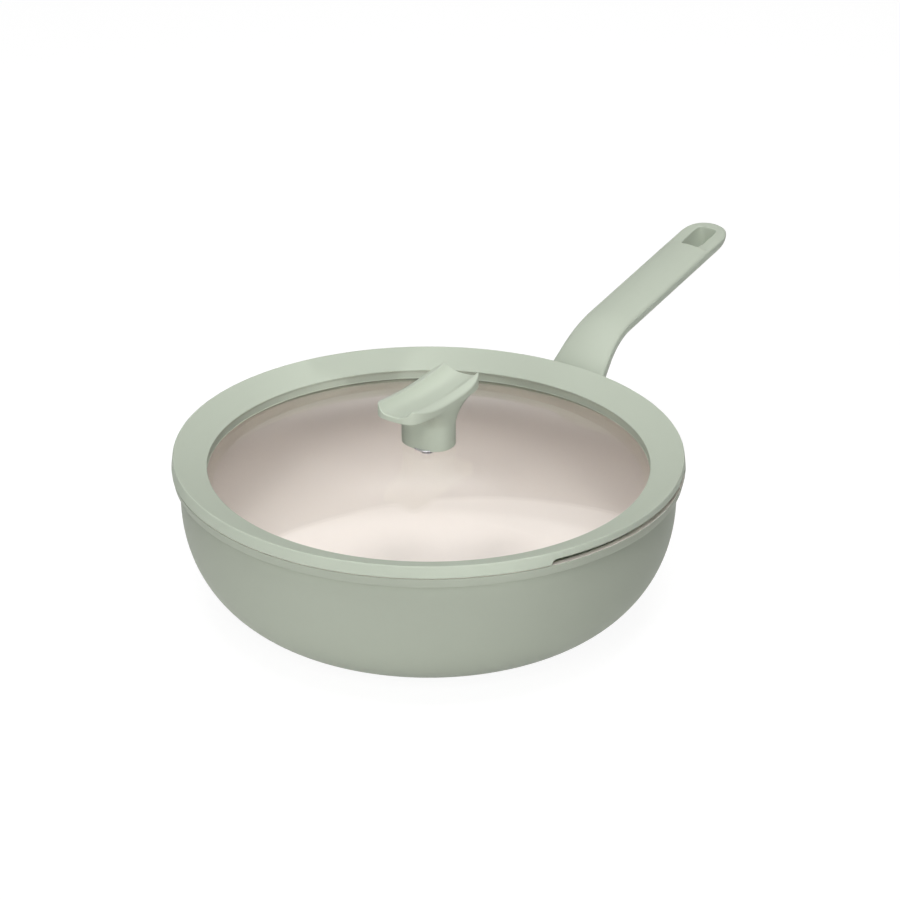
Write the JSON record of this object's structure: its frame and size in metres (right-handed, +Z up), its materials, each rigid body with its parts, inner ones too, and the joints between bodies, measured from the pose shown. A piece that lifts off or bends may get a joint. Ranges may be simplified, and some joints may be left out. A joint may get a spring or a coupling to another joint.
{
  "type": "wok with lid",
  "caption": "Deep round wok with a long upswept handle, and a domed glass lid in a silicone strainer rim lifted by a scooped knob. For frying, braising and draining.",
  "frame": {"origin": "centre of the base underside, on the induction plate's lower face", "axes": "+Z up along the pan's axis, +X along the handle towards its tip"},
  "size_m": [0.4624, 0.2926, 0.1331],
  "materials": {
    "pan_coat": "forged aluminium with a satin sage coat outside and a pale ceramic coat inside",
    "plate_steel": "fine-turned magnetic steel",
    "cast_aluminium": "as cast",
    "grip_plastic": "soft-touch matt",
    "knob_plastic": "soft-touch matt",
    "rim_silicone": "matt silicone",
    "seal_silicone": "matt silicone",
    "lid_glass": "clear tempered glass",
    "insert_brass": "machined",
    "fastener_steel": "polished stainless"
  },
  "bodies": {
    "pan": {"pan_body": "pan_coat", "induction_plate": "plate_steel", "handle_bracket": "cast_aluminium", "handle_grip": "grip_plastic", "handle_screw": "fastener_steel", "handle_washer": "fastener_steel"},
    "lid": {"lid_glass": "lid_glass", "lid_rim": "rim_silicone", "lid_knob": "knob_plastic", "knob_insert": "insert_brass", "knob_screw": "fastener_steel", "knob_washer": "fastener_steel", "knob_seal_upper": "seal_silicone", "knob_seal_lower": "seal_silicone", "vent_eyelet": "fastener_steel"}
  },
  "joints": [
    {"name": "lid_lift", "type": "slide", "parent": "pan", "child": "lid", "axis": [0, 0, 1], "range_m": [0, 0.16]}
  ]
}
